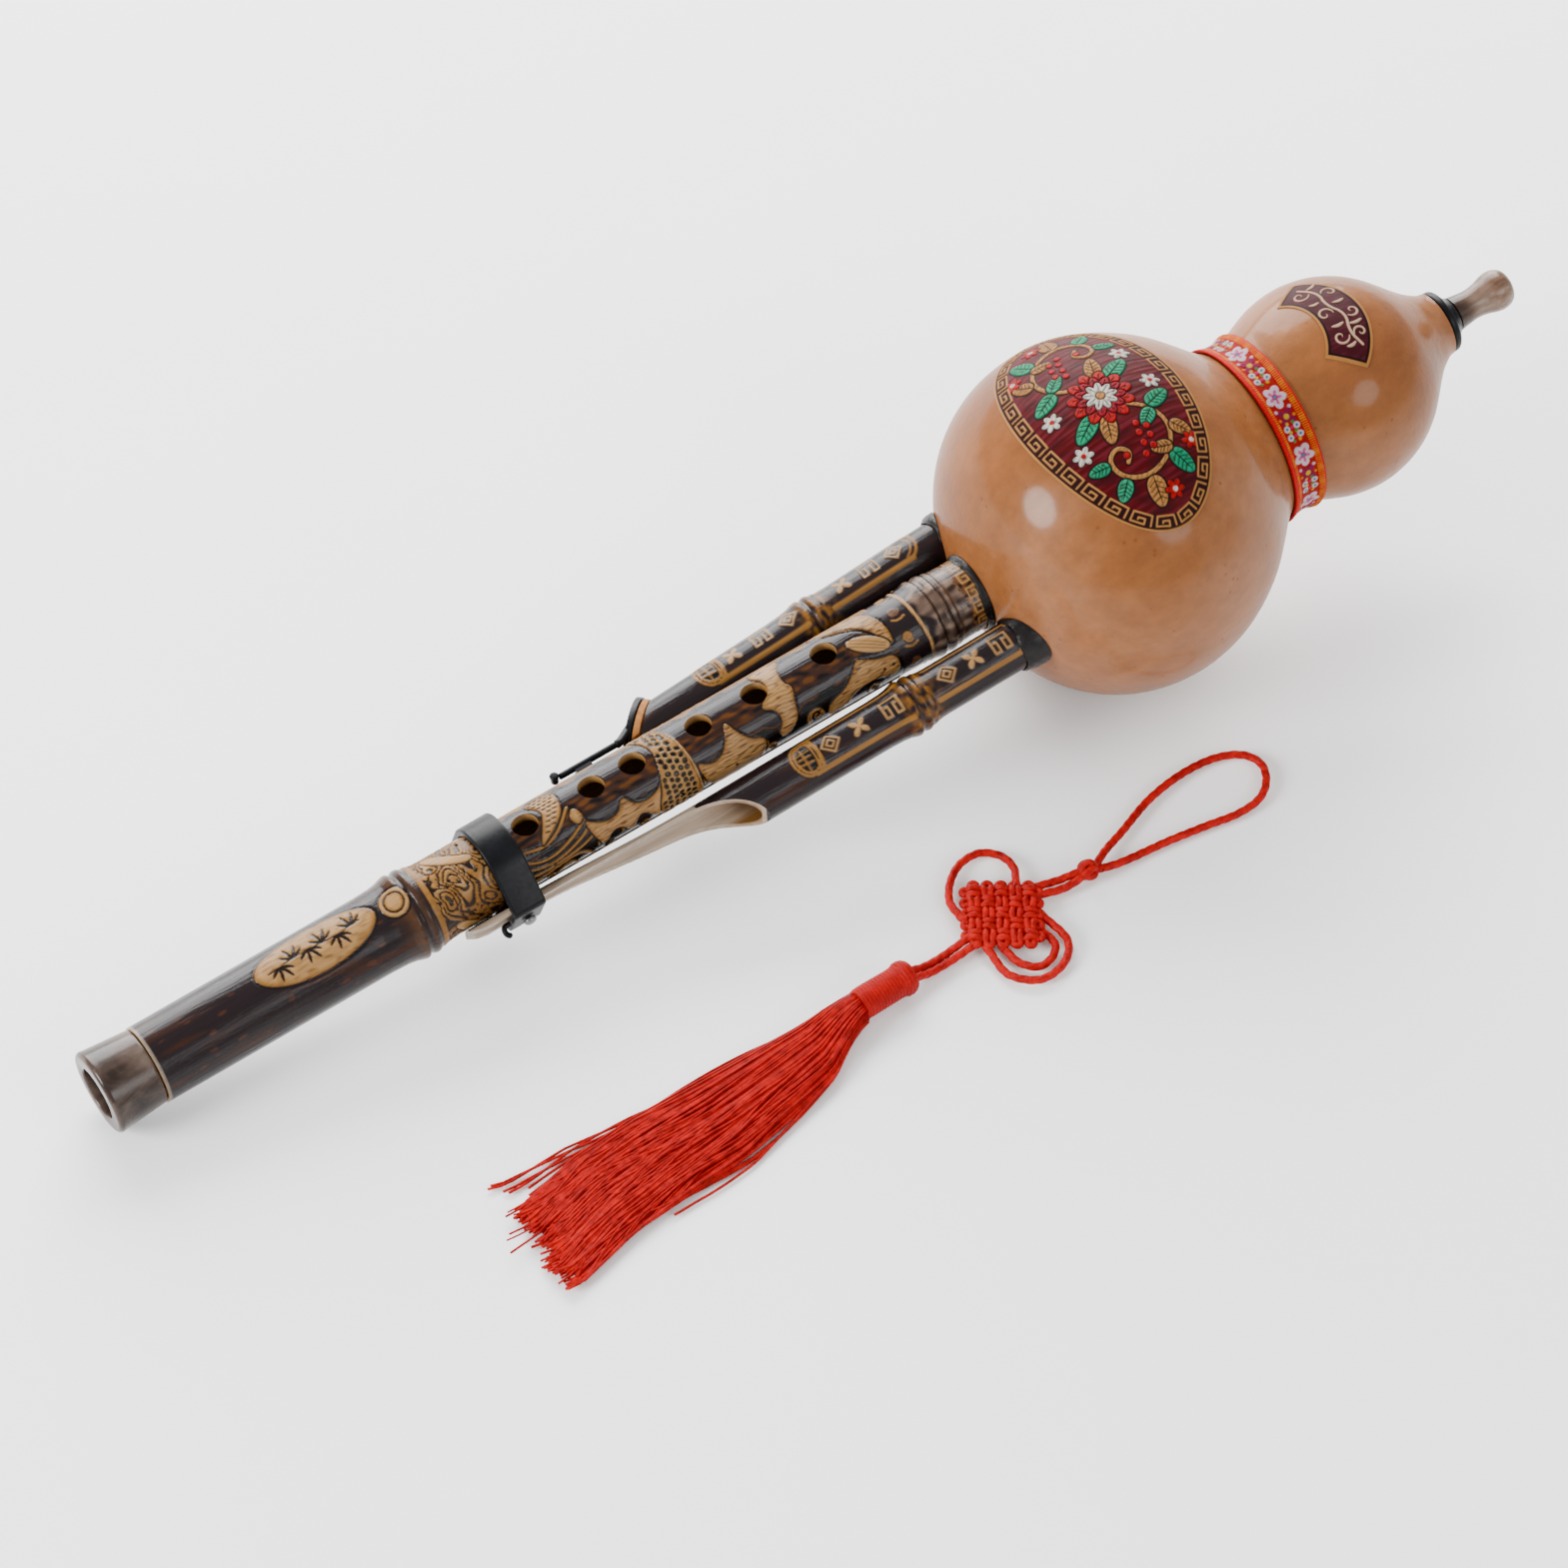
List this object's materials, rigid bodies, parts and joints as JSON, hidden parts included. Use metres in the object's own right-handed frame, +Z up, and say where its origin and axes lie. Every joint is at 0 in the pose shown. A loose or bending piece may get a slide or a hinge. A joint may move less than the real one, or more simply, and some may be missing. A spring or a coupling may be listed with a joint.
{
  "type": "hulusi",
  "caption": "Gourd flute lying down: lacquered melody pipe between drone pipes, double gourd wind chest, horn mouthpiece, and a red knotted tassel laid beside it.",
  "frame": {"origin": "centre of the instrument's bounding box, at the level of the surface it lies on", "axes": "+X along the instrument towards the mouthpiece, +Z up, the side with the finger holes up and the tassel on the -Y side"},
  "size_m": [0.4642, 0.1651, 0.101],
  "materials": {
    "gourd_shell": "glossy varnished gourd",
    "waist_ribbon": "woven ribbon",
    "mouthpiece_collar": "glossy black",
    "mouthpiece": "polished streaked horn",
    "melody_pipe": "dark lacquered bamboo with gold relief",
    "end_ferrule": "polished translucent horn",
    "near_drone_pipe": "dark lacquered bamboo, pale where cut",
    "far_drone_pipe": "dark lacquered bamboo, pale where cut",
    "clamp_band": "glossy black",
    "band_screw": "nickel",
    "tassel_hook": "glossy black",
    "seal_wax": "dark sealing wax",
    "valve_black": "glossy black",
    "valve_cork": "cork",
    "reed_brass": "satin brass",
    "tassel_cord": "braided satin cord",
    "tassel_threads": "silky threads"
  },
  "bodies": {
    "instrument": {"gourd_shell": "gourd_shell", "waist_ribbon": "waist_ribbon", "mouthpiece_collar": "mouthpiece_collar", "mouthpiece": "mouthpiece", "melody_pipe": "melody_pipe", "end_ferrule": "end_ferrule", "near_drone_pipe": "near_drone_pipe", "far_drone_pipe": "far_drone_pipe", "clamp_band": "clamp_band", "band_screw": "band_screw", "tassel_hook": "tassel_hook", "melody_seal": "seal_wax", "near_drone_seal": "seal_wax", "far_drone_seal": "seal_wax", "valve_guide": "valve_black", "melody_reed_plate": "reed_brass", "melody_reed_tongue": "reed_brass", "melody_end_plug": "seal_wax", "near_reed_plate": "reed_brass", "near_reed_tongue": "reed_brass", "near_end_plug": "seal_wax", "far_reed_plate": "reed_brass", "far_reed_tongue": "reed_brass", "far_end_plug": "seal_wax"},
    "drone_valve": {"valve_pad": "valve_black", "valve_cork": "valve_cork", "valve_rod": "valve_black", "valve_knob": "valve_black"},
    "tassel": {"hanging_loop": "tassel_cord", "button_knot": "tassel_cord", "knot_body": "tassel_cord", "ring_ear": "tassel_cord", "inner_ear": "tassel_cord", "outer_ear": "tassel_cord", "tassel_head": "tassel_threads", "tassel_fringe": "tassel_threads", "neck_cord_1": "tassel_cord", "neck_cord_2": "tassel_cord", "tail_cord_1": "tassel_cord", "tail_cord_2": "tassel_cord"}
  },
  "joints": [
    {"name": "valve_slide", "type": "slide", "parent": "instrument", "child": "drone_valve", "axis": [-0.9931, 0, -0.1174], "range_m": [0, 0.008]},
    {"name": "tassel_lift", "type": "slide", "parent": "instrument", "child": "tassel", "axis": [0, 0, 1], "range_m": [0, 0.05]}
  ]
}
